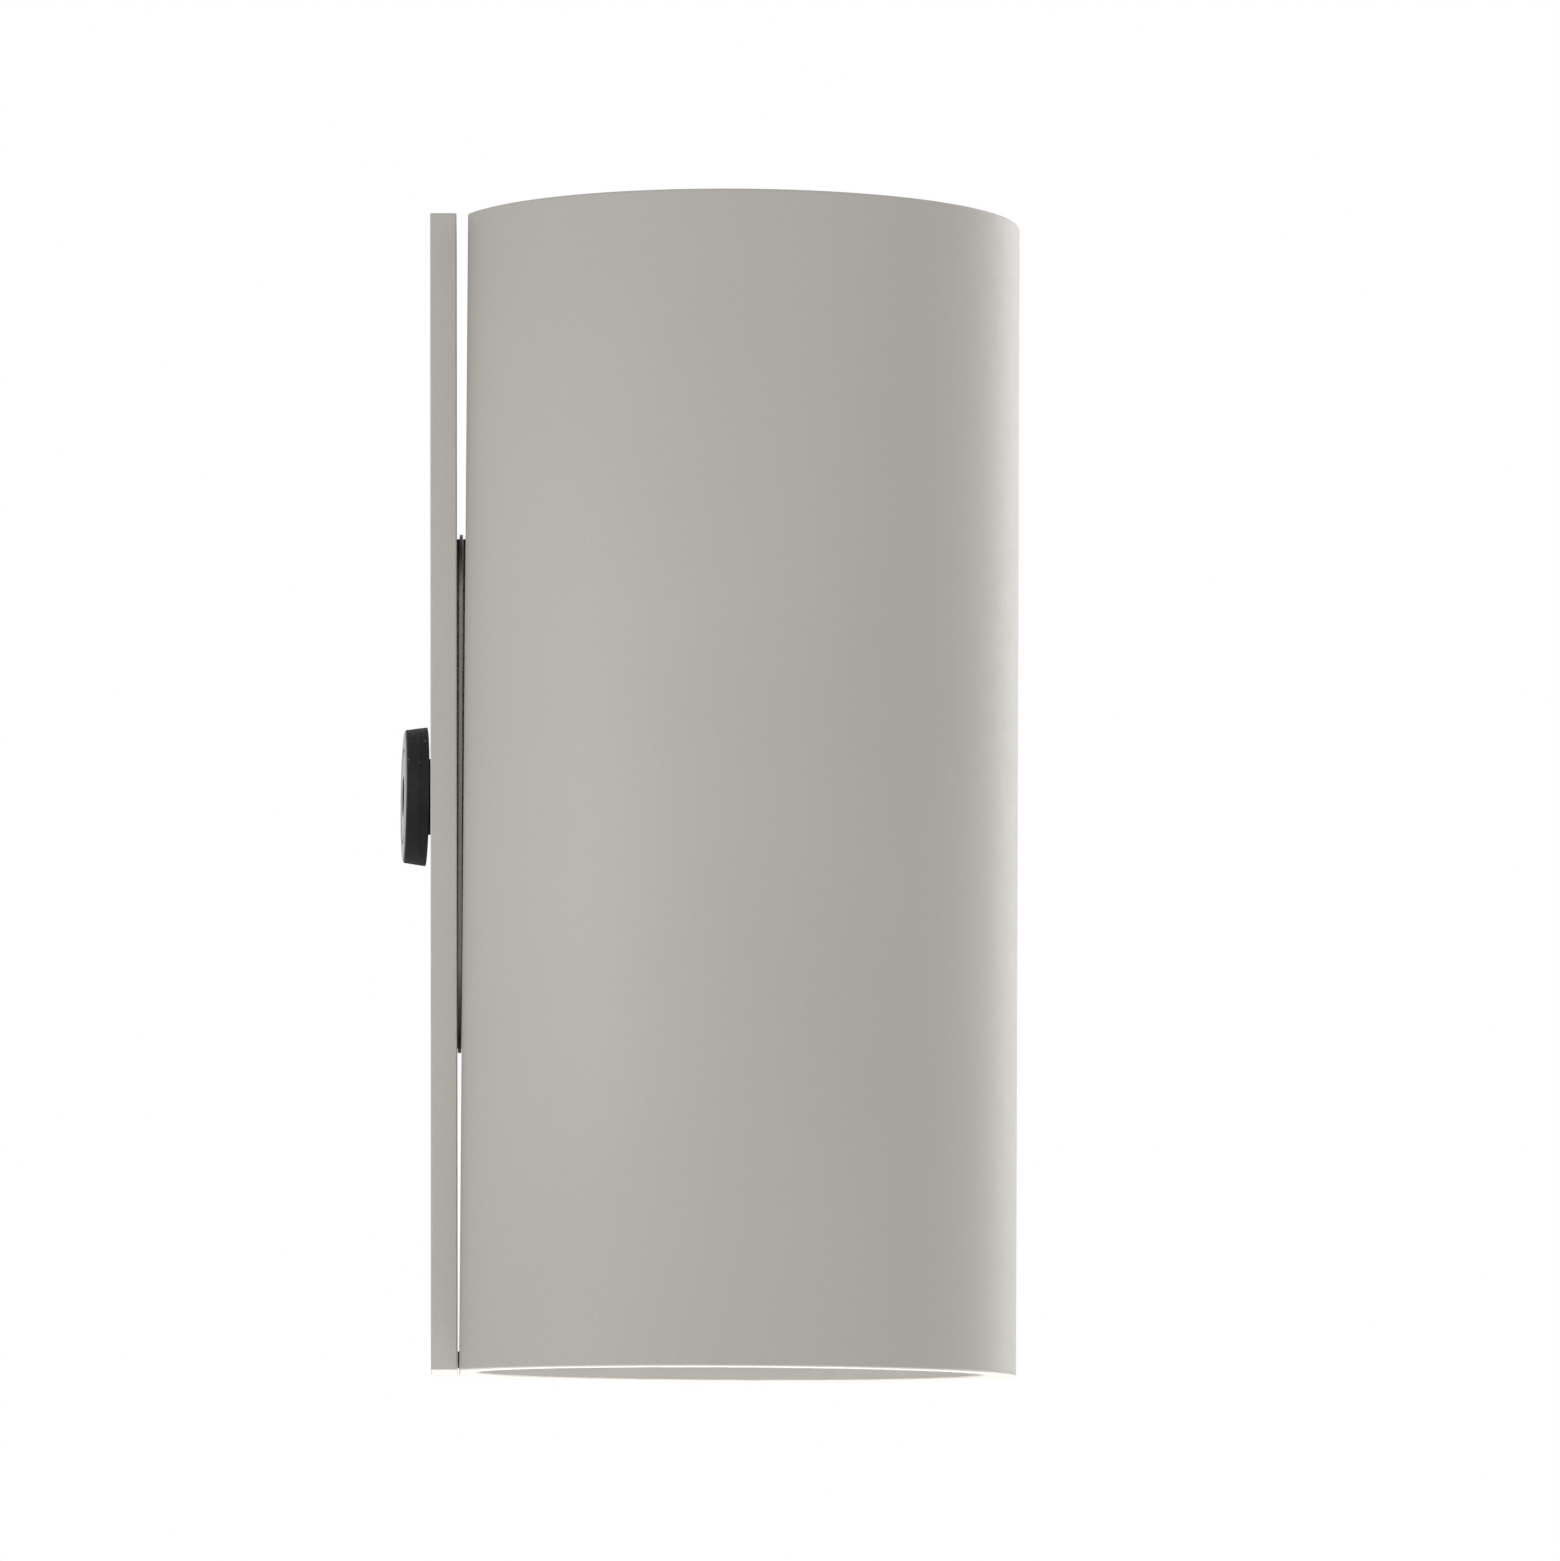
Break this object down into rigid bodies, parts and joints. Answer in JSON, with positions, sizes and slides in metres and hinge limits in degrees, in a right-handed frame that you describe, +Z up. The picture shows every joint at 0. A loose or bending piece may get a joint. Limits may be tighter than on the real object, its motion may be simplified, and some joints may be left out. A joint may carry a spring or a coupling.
{
  "type": "tube wall light",
  "caption": "Up and down wall light: a painted tube, flattened at the back, hangs by hooks on a slim wall plate and holds a twist-lock lamp behind glass in each end.",
  "frame": {"origin": "middle of the wall plate's back, on the wall's surface, between the two wall screws", "axes": "+Z up, +Y into the wall, so the light stands out to -Y; the tube's own axis leans 0.495 degrees off +Z"},
  "size_m": [0.1, 0.1093, 0.2028],
  "materials": {
    "warm_grey_paint": "fine texture powder coat",
    "black_rubber": "matt moulded rubber",
    "black_foam": "closed-cell foam",
    "zinc_plated_steel": "bright zinc plate",
    "blackened_steel": "black oxide",
    "phosphated_steel": "zinc phosphate grey",
    "black_coated_metal": "matt black coat",
    "clear_glass": "clear toughened glass",
    "white_ceramic": "unglazed steatite",
    "white_plastic": "moulded polyamide",
    "brown_insulation": "extruded silicone sleeve",
    "blue_insulation": "extruded silicone sleeve",
    "green_insulation": "extruded silicone sleeve",
    "plated_brass": "nickel-plated brass",
    "cast_aluminium": "die cast, satin",
    "frosted_lens": "moulded diffusing lens"
  },
  "bodies": {
    "wall_mount": {"wall_plate": "warm_grey_paint", "cable_grommet": "black_rubber", "plate_pad": "black_foam", "hook_bracket": "phosphated_steel", "bracket_screws": "zinc_plated_steel", "plate_earth_screw": "zinc_plated_steel"},
    "tube": {"tube_shell": "warm_grey_paint", "tube_pad": "black_foam", "lamp_carrier": "zinc_plated_steel", "carrier_screws": "zinc_plated_steel", "terminal_block": "white_plastic", "terminal_screws": "plated_brass", "live_leads": "brown_insulation", "neutral_leads": "blue_insulation", "earth_tag": "zinc_plated_steel", "earth_lead": "green_insulation", "carrier_earth_screw": "zinc_plated_steel", "upper_lampholder": "white_ceramic", "lower_lampholder": "white_ceramic", "holder_screws": "zinc_plated_steel", "upper_baffle": "black_coated_metal", "upper_seal": "black_rubber", "upper_glass": "clear_glass", "lower_baffle": "black_coated_metal", "lower_seal": "black_rubber", "lower_glass": "clear_glass"},
    "upper_lamp": {"upper_lamp_body": "cast_aluminium", "upper_lamp_lens": "frosted_lens", "upper_lamp_pins": "plated_brass"},
    "lower_lamp": {"lower_lamp_body": "cast_aluminium", "lower_lamp_lens": "frosted_lens", "lower_lamp_pins": "plated_brass"},
    "upper_ring": {"upper_retaining_ring": "black_coated_metal"},
    "lower_ring": {"lower_retaining_ring": "black_coated_metal"},
    "lock": {"lock_screw": "blackened_steel"}
  },
  "joints": [
    {"name": "tube_lift", "type": "slide", "parent": "wall_mount", "child": "tube", "axis": [0, -0.0086, 1], "range_m": [0, 0.0055]},
    {"name": "upper_lamp_twist", "type": "hinge", "parent": "tube", "child": "upper_lamp", "pos_m": [0, -0.05305, -0.00041], "axis": [0, -0.0086, 1], "range_deg": [0, 25]},
    {"name": "lower_lamp_twist", "type": "hinge", "parent": "tube", "child": "lower_lamp", "pos_m": [0, -0.05305, -0.00041], "axis": [0, 0.0086, -1], "range_deg": [0, 25]},
    {"name": "upper_ring_turn", "type": "hinge", "parent": "tube", "child": "upper_ring", "pos_m": [0, -0.05305, -0.00041], "axis": [0, -0.0086, 1], "continuous": true},
    {"name": "lower_ring_turn", "type": "hinge", "parent": "tube", "child": "lower_ring", "pos_m": [0, -0.05305, -0.00041], "axis": [0, 0.0086, -1], "continuous": true},
    {"name": "lock_screw_travel", "type": "slide", "parent": "tube", "child": "lock", "axis": [0, -1, -0.0086], "range_m": [0, 0.0026]}
  ]
}
